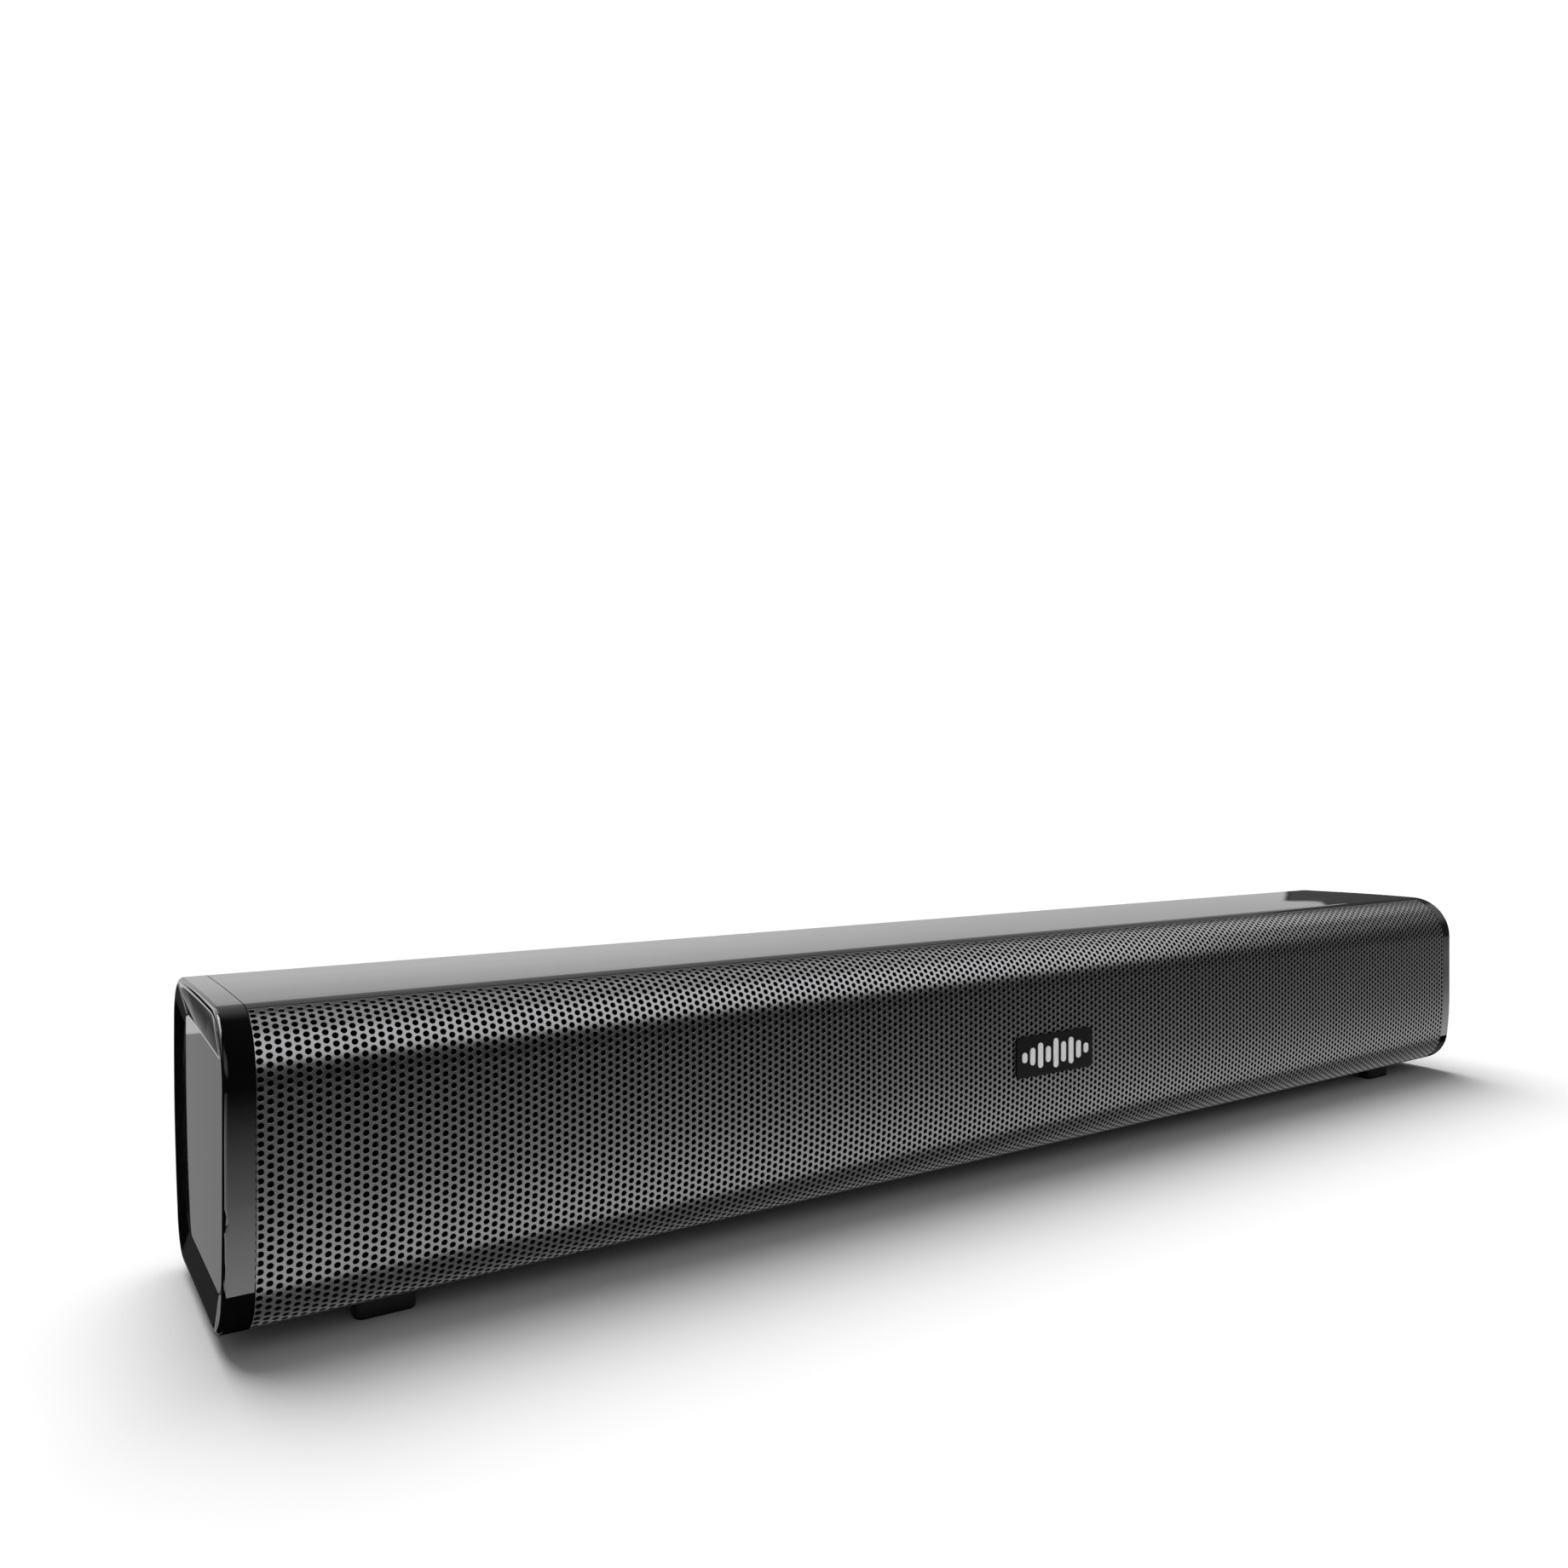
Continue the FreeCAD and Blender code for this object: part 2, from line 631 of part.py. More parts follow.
def wires():
    """Leads that the case holds all the way, each in its own node."""
    mid = board_z + board_thick / 2
    route = {}
    for side, s in (("left", -1), ("right", 1)):
        route[side + "_speaker_wire"] = [
            (s * board_x, -4, mid), (s * 80, -4, mid), (s * 104, -17, driver_z), (s * 126, -17, driver_z)]
    route["button_wire"] = [(225.9, 4, 30), (202, 4, 30), (176, 16, 8.5), (132, 16, 8.5),
                            (98, 11, mid), (board_x, 11, mid)]
    route["receiver_wire"] = [(52, -33.7, 24), (52, -27, 24), (52, -18.5, mid), (52, board_ys[0], mid)]
    return {name: wire_tube(points, 0.75) for name, points in route.items()}


def case_screws():
    seat_x = panel_seat_x - case_screw["head"]
    screws = []
    for s in (-1, 1):
        for x in post_xs:
            screws.append(screw(case_screw, (s * x, post_screw_y, post_screw_z), (0, -1, 0)))
        for y, z in cap_screws:
            screws.append(screw(case_screw, (s * (seat_x - 0.1), y, z), (-s, 0, 0)))
    for x, y in flange_screws:
        screws.append(screw(case_screw, (x, y, underside_z + case_screw["head"] + 0.1), (0, 0, 1)))
        short = dict(case_screw, length=6.0)
        screws.append(screw(short, (x, y, 66.0), (0, 0, 1)))
    return Part.makeCompound(screws)


def board_screws():
    screws = [screw(small_screw, (x, y, board_z + board_thick), (0, 0, -1)) for x, y in standoffs()]
    screws += [screw(small_screw, (225.9, y, z), (1, 0, 0)) for y, z in button_board_screws()]
    screws += [screw(small_screw, (x, -34.7, z), (0, 1, 0)) for x, z in receiver_screws()]
    return Part.makeCompound(screws)


def driver_screws():
    seat = baffle_back_y + 1.5
    return Part.makeCompound([screw(dict(small_screw, length=4.0), (x, seat, z), (0, -1, 0))
                              for x, z in driver_screw_places()])


def wall_mount_inserts():
    return Part.makeCompound([
        pipe(insert_r, insert_hole_r, (s * insert_x, insert_y - insert_length, insert_z),
             (s * insert_x, insert_y, insert_z)) for s in (-1, 1)])


# ---- write every node ---------------------------------------------------------------
def main():
    os.makedirs("parts", exist_ok=True)
    cap, panel = end_cap(), end_panel()
    bosses = [rod(2.6, (227.5, y, z), (cap_floor_x + 0.5, y, z)) for y, z in button_board_screws()]
    pilots = [rod(1.2, (226, y, z), (231, y, z)) for y, z in button_board_screws()]
    pieces = {
        "front_grille": front_grille(),
        "dust_cloth": dust_cloth(),
        "top_cover": top_cover(),
        "rear_cover": rear_cover(),
        "bottom_housing": bottom_housing(),
        "front_baffle": front_baffle(),
        "terminal_plate": terminal_plate(),
        "right_end_cap": cut(join([cap] + bosses), button_holes() + pilots),
        "left_end_cap": mirrored(cap),
        "right_end_panel": cut(panel, button_holes()),
        "left_end_panel": mirrored(panel),
        "badge_plate": badge_plate(),
        "badge_bars": badge_bars(),
        "driver_screws": driver_screws(),
        "case_screws": case_screws(),
        "board_screws": board_screws(),
        "wall_mount_inserts": wall_mount_inserts(),
        "amplifier_board": amplifier_board(),
        "amplifier_chip": box(13, 27, -7, 5, board_z + board_thick, board_z + board_thick + 1.4),
        "heat_sink": heat_sink(),
        "filter_capacitors": filter_capacitors(),
        "button_board": button_board(),
        "button_switches": button_switches(),
        "receiver_board": receiver_board(),
        "infrared_receiver": infrared_receiver(),
    }
    for end, y in foot_ys.items():
        pieces[end + "_left_foot"] = foot(-foot_x, y)
        pieces[end + "_right_foot"] = foot(foot_x, y)
    for name, z in button_zs.items():
        pieces[name + "_button"] = button(z)
    for side, s in (("left", -1), ("right", 1)):
        pieces.update(driver_pieces(side, s * driver_x))
    pieces.update(sockets())
    pieces.update(wires())
    for name, shape in pieces.items():
        save(name, shape)
    print(len(pieces), "nodes")


main()
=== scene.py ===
"""Looks of the compact soundbar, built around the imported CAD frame. Lengths are metres."""
import json
import math

import bpy
import numpy as np
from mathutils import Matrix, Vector

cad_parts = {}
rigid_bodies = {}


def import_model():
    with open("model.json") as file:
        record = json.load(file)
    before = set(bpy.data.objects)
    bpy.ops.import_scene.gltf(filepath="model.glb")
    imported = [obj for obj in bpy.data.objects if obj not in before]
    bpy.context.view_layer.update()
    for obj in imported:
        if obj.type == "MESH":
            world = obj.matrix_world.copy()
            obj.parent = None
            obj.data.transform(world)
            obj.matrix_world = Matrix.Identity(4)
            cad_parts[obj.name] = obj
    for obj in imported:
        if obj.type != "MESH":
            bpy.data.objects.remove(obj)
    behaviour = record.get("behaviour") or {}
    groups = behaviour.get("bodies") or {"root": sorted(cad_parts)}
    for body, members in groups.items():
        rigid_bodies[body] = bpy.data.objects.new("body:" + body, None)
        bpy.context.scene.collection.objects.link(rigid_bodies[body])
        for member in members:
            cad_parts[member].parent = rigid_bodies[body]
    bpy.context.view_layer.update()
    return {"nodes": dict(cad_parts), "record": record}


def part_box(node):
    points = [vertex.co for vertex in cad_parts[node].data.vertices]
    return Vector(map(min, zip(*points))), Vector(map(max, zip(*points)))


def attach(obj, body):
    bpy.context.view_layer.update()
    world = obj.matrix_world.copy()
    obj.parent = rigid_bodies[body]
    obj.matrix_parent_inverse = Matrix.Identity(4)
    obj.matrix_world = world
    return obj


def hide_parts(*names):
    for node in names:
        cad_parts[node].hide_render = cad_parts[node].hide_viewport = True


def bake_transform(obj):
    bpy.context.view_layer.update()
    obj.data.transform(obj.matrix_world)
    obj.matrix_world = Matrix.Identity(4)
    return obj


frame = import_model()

MM = 0.001
nodes = frame["nodes"]

# ---- driving sizes --------------------------------------------------------------------
HOLE_COLUMN = 1.94 * MM      # spacing of the hole columns along the bar
HOLE_PITCH = 1.915 * MM      # spacing of the holes in one column, round the section
HOLE_RADIUS = 0.71 * MM
HOLE_ROLL = 0.04 * MM        # the punched rims are broken by this much
HOLE_SIDES = 12
COLUMNS = 241
GRILLE_SHEET = 0.6 * MM
GRILLE_PIECES = 6            # lengths of the grille's mesh, each small enough to export whole
GRILLE_EDGES = (-28.15 * MM, -29.3 * MM)    # depths (y) of the sheet's upper and lower edge
HOLE_MARGIN = 0.15 * MM      # from the sheet's upper edge to the first patch of metal
CLOTH_DEPTH = 0.81 * MM      # from the front of the grille to the cloth
CLOTH = 0.28 * MM
CLOTH_EDGES = (-28.75 * MM, -29.9 * MM)

CAMERA_HEIGHT = 0.1195
CAMERA_AT = (-0.2798, -0.3056)
CAMERA_HEADING = 33.7        # degrees from +Y towards +X
CAMERA_LENS = 27.39
HORIZON_SHIFT = 0.0049       # the horizon sits a little below the middle of the frame
WORLD_FILL = 0.21            # even light on matt surfaces
BACKDROP = 1.1               # what the camera sees behind the bar
SUN_STRENGTH = 3.15
SUN_SPREAD = 50              # degrees
SUN_WAY = (0.0, -0.47, -1.0)

# Soft boxes that only gloss and metal mirror, in degrees: left and right heading from +Y towards +X,
# low and high rise above the horizon, softness at the sides, below and above, strength.
BACK_WALL = (-10, 56.4, -10.3, 58, 0.15, 0.05, 14, 0.87)
SOFT_BOXES = [
    (56.5, 130, -10, 40, 0.15, 1, 10, 0.08),      # dim wall that the right end of the top mirrors
    (-30, -10, 4, 40, 2, 2, 10, 1.7),             # upper edges of the left cap
    (-20, -10.5, -17, -5, 1, 1, 1, 0.05),         # lower slope of the left cap's rim
    (-170, -105, 12, 42, 8, 6, 10, 0.8),          # front left
    (105, 150, 22, 48, 8, 6, 10, 0.35),           # front right
    (-76, -30, 8, 30, 1, 3, 4, 1.3),              # left, low
    (-76, -30, 30, 52, 1, 4, 6, 8.0),             # left, high: the bright line on the left cap's edge
    (-10, -4.5, -60, -10.3, 0.4, 6, 0.05, 0.36),  # left side panel
    (-3.5, 12, -20, -10.3, 1, 3, 0.05, 0.5),      # upper slope of the left cap's rim
    (75, 105, -60, -4, 4, 4, 3, 0.14),            # right side panel
    (78, 130, 18, 60, 5, 8, 10, 0.5),             # right
]

# Lamps that light only the grille: name, place, tilt from straight down in degrees, size, power.
GRILLE_LAMPS = [
    ("key", (0.05, -0.46, 0.55), 38, (1.7, 0.6), 17.4),
    ("top_fill", (0.175, 0.02, 0.62), 0, (1.95, 0.45), 7.6),
    ("underglow", (0.1, -0.051, 0.001), 180, (0.9, 0.045), 0.072),
]


# ---- the bar's section ------------------------------------------------------------------
def section_corners():
    """(y, z, radius) corners of the front half of the section, from the top round to below."""
    grille_low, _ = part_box("front_grille")
    cap_low, cap_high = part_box("left_end_cap")
    front, under, top = grille_low[1], cap_low[2], cap_high[2]
    lean, lean_z = math.radians(6.8), 25 * MM
    crest = top + 0.095 * MM      # where the two slopes of the crowned top would meet
    return [
        (-4.5 * MM, crest, 0.0),
        (front, crest - 0.3 * MM, 15.5 * MM),
        (front, lean_z, 150 * MM),
        (front + (lean_z - under) * math.tan(lean), under, 13.4 * MM),
        (20 * MM, under, 0.0),
    ]


def section_path():
    """The section as (kind, length, data) runs: straight lines and tangent arcs."""
    corners = [(Vector((y, z)), r) for y, z, r in section_corners()]
    runs, start = [], corners[0][0]
    for (before, _), (here, r), (after, _) in zip(corners, corners[1:], corners[2:]):
        u, w = (before - here).normalized(), (after - here).normalized()
        half = u.angle(w) / 2
        a, b = here + u * (r / math.tan(half)), here + w * (r / math.tan(half))
        centre = here + (u + w).normalized() * (r / math.sin(half))
        runs.append(("line", (a - start).length, (start, a)))
        turn = math.pi - 2 * half
        runs.append(("arc", r * turn, (centre, r, a, turn)))
        start = b
    runs.append(("line", (corners[-1][0] - start).length, (start, corners[-1][0])))
    return runs


PATH = section_path()


def on_section(s):
    """Point and outward normal of the section, s metres along it from the crest."""
    for kind, length, data in PATH:
        if s > length and (kind, length, data) is not PATH[-1]:
            s -= length
            continue
        if kind == "line":
            a, b = data
            way = (b - a).normalized()
            return a + way * s, Vector((way.y, -way.x))
        centre, r, a, turn = data
        arm = a - centre
        angle = s / r
        turned = Vector((arm.x * math.cos(angle) - arm.y * math.sin(angle),
                         arm.x * math.sin(angle) + arm.y * math.cos(angle)))
        return centre + turned, turned.normalized()


def section_reach(y, upper):
    """How far along the section the outline passes depth y, in its upper or lower half."""
    lengths = np.linspace(0, sum(run[1] for run in PATH), 6000)
    half = 38 * MM
    best = [s for s in lengths if (on_section(s)[0].y > half) == upper]
    return min(best, key=lambda s: abs(on_section(s)[0].x - y))


# ---- mesh helpers -----------------------------------------------------------------------
def mesh_object(name, verts, faces, material, smooth_angle=35):
    """A mesh in the scene, smooth except where its faces meet at more than the angle, in degrees."""
    mesh = bpy.data.meshes.new(name)
    mesh.from_pydata(verts, [], faces)
    mesh.update()
    mesh.polygons.foreach_set("use_smooth", [True] * len(mesh.polygons))
    mesh.set_sharp_from_angle(angle=math.radians(smooth_angle))
    obj = bpy.data.objects.new(name, mesh)
    bpy.context.scene.collection.objects.link(obj)
    mesh.materials.append(material)
    return obj


class FlatSheet:
    """Faces drawn on the unrolled sheet and welded as they are added: x along the bar, s round it."""

    def __init__(self, half_length, length):
        self.half, self.length = half_length, length
        self.points, self.index, self.faces, self.holes = [], {}, [], []

    def point(self, x, s):
        x = min(max(x, -self.half), self.half)
        s = min(max(s, 0.0), self.length)
        key = (round(x * 1e7), round(s * 1e7))
        if key not in self.index:
            self.index[key] = len(self.points)
            self.points.append((x, s))
        return self.index[key]

    def face(self, corners):
        ids = [self.point(*c) for c in corners]
        ids = [v for i, v in enumerate(ids) if v != ids[i - 1]]
        if len(ids) > 2:
            self.faces.append(ids)

    def hole(self, rim, centre):
        self.holes.append((rim, centre))


def perforations(sheet, margin, columns):
    """Holes of some columns, each with the six-sided patch of metal round it, and the edge strips."""
    a, p = HOLE_COLUMN, HOLE_PITCH
    near = (a * a - p * p / 4) / (2 * a)
    patch = [(a - near, 0), (near, p / 2), (-near, p / 2),
             (near - a, 0), (-near, -p / 2), (near, -p / 2)]
    turns = [2 * math.pi * k / HOLE_SIDES for k in range(HOLE_SIDES)]
    lip = HOLE_RADIUS + HOLE_ROLL
    ring = [(lip * math.cos(t), lip * math.sin(t)) for t in turns]
    rows = int((sheet.length - margin) / p)
    for i in columns:
        x = (i - (COLUMNS - 1) / 2) * a
        odd = i % 2
        count = rows - odd
        first = margin + p / 2 * (1 + odd)
        for k in range(count):
            s = first + k * p
            for j in range(6):
                c0, c1 = patch[j], patch[(j + 1) % 6]
                r = [ring[(2 * j + n) % HOLE_SIDES] for n in (2, 1, 0)]
                corners = [c0, c1] + r
                sheet.face([(x + cx, s + cs) for cx, cs in corners])
            sheet.hole([sheet.point(x + cx, s + cs) for cx, cs in ring], (x, s))
        last = first + (count - 1) * p
        top, low = first - p / 2, last + p / 2
        for end, inner in ((0.0, top), (sheet.length, low)):
            wide = a - near
            if odd:
                mid = inner - p / 2 if inner < sheet.length / 2 else inner + p / 2
                strip = [(x - wide, end), (x + wide, end), (x + wide, mid), (x + near, inner),
                         (x - near, inner), (x - wide, mid)]
            else:
                strip = [(x - near, end), (x + near, end), (x + near, inner), (x - near, inner)]
            sheet.face(strip if end else strip[::-1])
    for side, last_column in ((-1, 0), (1, COLUMNS - 1)):
        if last_column not in columns:
            continue
        x = side * (COLUMNS - 1) / 2 * a
        edge = side * sheet.half
        first = margin + p / 2
        knots = [first + k * p for k in range(rows)]
        for s0, s1 in zip(knots, knots[1:]):
            corner = (x + side * near, (s0 + s1) / 2)
            triangle = [(edge, s0), corner, (edge, s1)]
            sheet.face(triangle if side < 0 else triangle[::-1])
        for end, knot in ((0.0, knots[0]), (sheet.length, knots[-1])):
            inner = knot + (-p / 2 if end == 0 else p / 2)
            quad = [(edge, end), (x + side * near, end), (x + side * near, inner), (edge, knot)]
            flip = (side < 0) != (end == 0)
            sheet.face(quad if flip else quad[::-1])


def rolled(sheet, start, thickness):
    """The unrolled sheet wrapped round the section, with its back, its edges and its rolled hole rims."""
    cache = {}

    def wrap(x, s, depth):
        key = round(s * 1e7)
        if key not in cache:
            cache[key] = on_section(start + s)
        at, out = cache[key]
        return (x, at.x - out.x * depth, at.y - out.y * depth)

    n = len(sheet.points)
    verts = [wrap(x, s, depth) for depth in (0.0, thickness) for x, s in sheet.points]
    faces = [tuple(f) for f in sheet.faces]
    faces += [tuple(v + n for v in reversed(f)) for f in sheet.faces]
    rims, walls = set(), []
    shrink = HOLE_RADIUS / (HOLE_RADIUS + HOLE_ROLL)
    for rim, (cx, cs) in sheet.holes:
        first = len(verts)
        for v in rim:
            x, s = sheet.points[v]
            verts.append(wrap(cx + (x - cx) * shrink, cs + (s - cs) * shrink, HOLE_ROLL))
        for k, v in enumerate(rim):
            w, deep = rim[(k + 1) % HOLE_SIDES], first + (k + 1) % HOLE_SIDES
            faces.append((v, w, deep, first + k))
            # the next face is a hole wall; it takes the near-black material, which is painted shade inside
            # the hole
            walls.append(len(faces))
            faces.append((first + k, deep, w + n, v + n))
            rims.add(frozenset((v, w)))
    used = {(v, w) for f in sheet.faces for v, w in zip(f, f[1:] + f[:1])}
    for v, w in used:
        if (w, v) not in used and frozenset((v, w)) not in rims:
            faces.append((w, v, v + n, w + n))
    return verts, faces, walls


# ---- materials --------------------------------------------------------------------------
def material(name, colour, roughness, metallic=0.0, coat=0.0, coat_roughness=0.03,
             variation=0.12, grain=600.0, bump=0.0, bump_scale=1800.0, sheen=0.0, specular=0.5):
    """A procedural surface: its colour and roughness drift a little, and a fine grain raises it."""
    mat = bpy.data.materials.new(name)
    mat.use_nodes = True
    tree = mat.node_tree
    shader = tree.nodes["Principled BSDF"]
    shader.inputs["Metallic"].default_value = metallic
    shader.inputs["Coat Weight"].default_value = coat
    shader.inputs["Coat Roughness"].default_value = coat_roughness
    shader.inputs["Sheen Weight"].default_value = sheen
    shader.inputs["Specular IOR Level"].default_value = specular
    place = tree.nodes.new("ShaderNodeTexCoord")
    drift = tree.nodes.new("ShaderNodeTexNoise")
    drift.inputs["Scale"].default_value = grain
    drift.inputs["Detail"].default_value = 4
    tree.links.new(place.outputs["Object"], drift.inputs["Vector"])
    ramp = tree.nodes.new("ShaderNodeMix")
    ramp.data_type = "RGBA"
    ramp.inputs["A"].default_value = [c * (1 - variation) for c in colour] + [1]
    ramp.inputs["B"].default_value = [min(1, c * (1 + variation)) for c in colour] + [1]
    tree.links.new(drift.outputs["Fac"], ramp.inputs["Factor"])
    tree.links.new(ramp.outputs["Result"], shader.inputs["Base Color"])
    rough = tree.nodes.new("ShaderNodeMapRange")
    rough.inputs["To Min"].default_value = roughness * (1 - variation)
    rough.inputs["To Max"].default_value = roughness * (1 + variation)
    tree.links.new(drift.outputs["Fac"], rough.inputs["Value"])
    tree.links.new(rough.outputs["Result"], shader.inputs["Roughness"])
    if bump:
        fine = tree.nodes.new("ShaderNodeTexNoise")
        fine.inputs["Scale"].default_value = bump_scale
        fine.inputs["Detail"].default_value = 3
        tree.links.new(place.outputs["Object"], fine.inputs["Vector"])
        raised = tree.nodes.new("ShaderNodeBump")
        raised.inputs["Strength"].default_value = bump
        raised.inputs["Distance"].default_value = 0.05 * MM
        tree.links.new(fine.outputs["Fac"], raised.inputs["Height"])
        tree.links.new(raised.outputs["Normal"], shader.inputs["Normal"])
    return mat


# name: colour, roughness, and what else differs from a plain surface
SURFACES = {
    "grille_metal": ((0.07, 0.07, 0.072), 0.27, dict(metallic=0.9, grain=300, bump=0.12, bump_scale=5000)),
    "gloss_black": ((0.004, 0.004, 0.0045), 0.03, dict(grain=60, variation=0.2)),
    # near-black hole walls: painted shade inside the punched holes, not a colour of the metal itself
    "painted_shade_hole_walls": ((0.004, 0.004, 0.004), 0.6, dict(grain=900, bump=0.1, specular=0.2)),
    "badge_black": ((0.006, 0.006, 0.006), 0.4, dict(grain=200, specular=0.04)),
    "panel_gloss": ((0.012, 0.012, 0.0125), 0.03, dict(grain=80, variation=0.2)),
    "matte_black": ((0.018, 0.018, 0.019), 0.5, dict(grain=900, bump=0.35, bump_scale=2600)),
    "black_cloth": ((0.002, 0.002, 0.002), 1.0, dict(grain=2000, bump=0.5, specular=0.0)),
    "badge_silver": ((0.86, 0.86, 0.86), 0.35, dict(grain=900, bump=0.1)),
    "screw_steel": ((0.08, 0.08, 0.085), 0.35, dict(metallic=1.0, grain=700)),
    "brass": ((0.72, 0.50, 0.2), 0.28, dict(metallic=1.0, grain=900)),
    "board_green": ((0.01, 0.09, 0.035), 0.3, dict(grain=350, variation=0.3, bump=0.1)),
    "chip_black": ((0.015, 0.015, 0.015), 0.45, dict(grain=900, bump=0.2)),
    "sink_aluminium": ((0.62, 0.63, 0.65), 0.35, dict(metallic=1.0, grain=500, bump=0.1)),
    "capacitor_sleeve": ((0.02, 0.03, 0.10), 0.25, dict(grain=500)),
    "foot_rubber": ((0.008, 0.008, 0.008), 0.7, dict(grain=900, bump=0.3)),
    "button_rubber": ((0.03, 0.03, 0.031), 0.3, dict(grain=900, bump=0.15)),
    "socket_plastic": ((0.015, 0.015, 0.015), 0.4, dict(grain=700, bump=0.15)),
    "socket_metal": ((0.6, 0.6, 0.62), 0.25, dict(metallic=1.0, grain=700)),
    "wire_sleeve": ((0.08, 0.01, 0.01), 0.45, dict(grain=600, bump=0.1)),
    "frame_steel": ((0.02, 0.02, 0.02), 0.4, dict(grain=600, bump=0.2)),
    "zinc_steel": ((0.5, 0.5, 0.52), 0.3, dict(metallic=1.0, grain=500, bump=0.1)),
    "ferrite": ((0.03, 0.03, 0.032), 0.55, dict(grain=900, bump=0.4)),
    "cone_paper": ((0.02, 0.02, 0.02), 0.8, dict(grain=900, bump=0.6)),
    "copper_coil": ((0.6, 0.24, 0.1), 0.3, dict(metallic=1.0, grain=2500)),
    "surround_rubber": ((0.012, 0.012, 0.012), 0.6, dict(grain=600, bump=0.1)),
    "spider_cloth": ((0.35, 0.22, 0.07), 0.9, dict(grain=2500, bump=0.6)),
}
MATERIALS = {name: material(name, colour, roughness, **more)
             for name, (colour, roughness, more) in SURFACES.items()}


def dress_nodes():
    """Every CAD node takes the procedural material of its slot."""
    slots = {row["node"]: row["material_slot"] for row in frame["record"]["subparts"]}
    for name, obj in nodes.items():
        obj.data.materials.clear()
        obj.data.materials.append(MATERIALS[slots[name]])


# ---- pieces -----------------------------------------------------------------------------
def perforated_grille():
    """The folded sheet with its 9,600 holes, made in a few lengths that share their edges."""
    _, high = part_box("front_grille")
    start, end = section_reach(GRILLE_EDGES[0], True), section_reach(GRILLE_EDGES[1], False)
    breaks = [round(COLUMNS * k / GRILLE_PIECES) for k in range(GRILLE_PIECES + 1)]
    for k, (first, last) in enumerate(zip(breaks, breaks[1:])):
        sheet = FlatSheet(high[0], end - start)
        perforations(sheet, HOLE_MARGIN, range(first, last))
        verts, faces, walls = rolled(sheet, start, GRILLE_SHEET)
        piece = mesh_object("perforated_grille_" + str(k + 1), verts, faces,
                            MATERIALS["grille_metal"], 30)
        # the hole walls take the near-black material: painted shade inside the holes
        piece.data.materials.append(MATERIALS["painted_shade_hole_walls"])
        for face in walls:
            piece.data.polygons[face].material_index = 1
        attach(piece, "case")
        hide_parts("front_grille")
        GRILLE.append(piece)


def backing_cloth():
    """The black cloth stretched behind the grille."""
    low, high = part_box("dust_cloth")
    start, end = section_reach(CLOTH_EDGES[0], True), section_reach(CLOTH_EDGES[1], False)
    across, along = 240, 90
    verts, faces = [], []
    for layer in (CLOTH_DEPTH, CLOTH_DEPTH + CLOTH):
        for j in range(along + 1):
            at, out = on_section(start + (end - start) * j / along)
            y, z = at.x - out.x * layer, at.y - out.y * layer
            verts += [(low[0] + (high[0] - low[0]) * i / across, y, z) for i in range(across + 1)]
    row, layer = across + 1, (across + 1) * (along + 1)
    edges = {}      # in the order of the faces
    for j in range(along):
        for i in range(across):
            v = j * row + i
            quad = (v, v + row, v + row + 1, v + 1)
            faces += [quad, tuple(layer + q for q in reversed(quad))]
            for a, b in zip(quad, quad[1:] + quad[:1]):
                edges[(a, b)] = True
    faces += [(b, a, a + layer, b + layer) for a, b in edges if (b, a) not in edges]
    cloth = mesh_object("backing_cloth", verts, faces, MATERIALS["black_cloth"])
    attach(cloth, "case")
    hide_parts("dust_cloth")


def turned_piece(name, profile, centre, material, steps=96):
    """A closed ring turned about the loudspeaker's axis from (radius, y) points."""
    verts, faces, n = [], [], len(profile)
    for k in range(steps):
        a = 2 * math.pi * k / steps
        verts += [(centre[0] + r * math.cos(a), y, centre[1] + r * math.sin(a)) for r, y in profile]
    for k in range(steps):
        here, there = k * n, (k + 1) % steps * n
        for i in range(n):
            j = (i + 1) % n
            faces.append((here + i, here + j, there + j, there + i))
    obj = mesh_object(name, verts, faces, material, 60)
    if signed_volume(obj.data) < 0:
        obj.data.flip_normals()
    return obj


def signed_volume(mesh):
    """Six times the volume; negative where the faces point inwards."""
    total = 0.0
    for face in mesh.polygons:
        a = mesh.vertices[face.vertices[0]].co
        for v, w in zip(face.vertices[1:], face.vertices[2:]):
            total += a.dot(mesh.vertices[v].co.cross(mesh.vertices[w].co))
    return total


def soft_ring(name, node, profile, material):
    """A ring turned from the profile about the middle of the node's box, in place of the node, which is
    hidden.
    """
    low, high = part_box(node)
    centre = ((low[0] + high[0]) / 2, (low[2] + high[2]) / 2)
    ring = turned_piece(name, profile, centre, material)
    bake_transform(ring)
    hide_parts(node)
    return ring


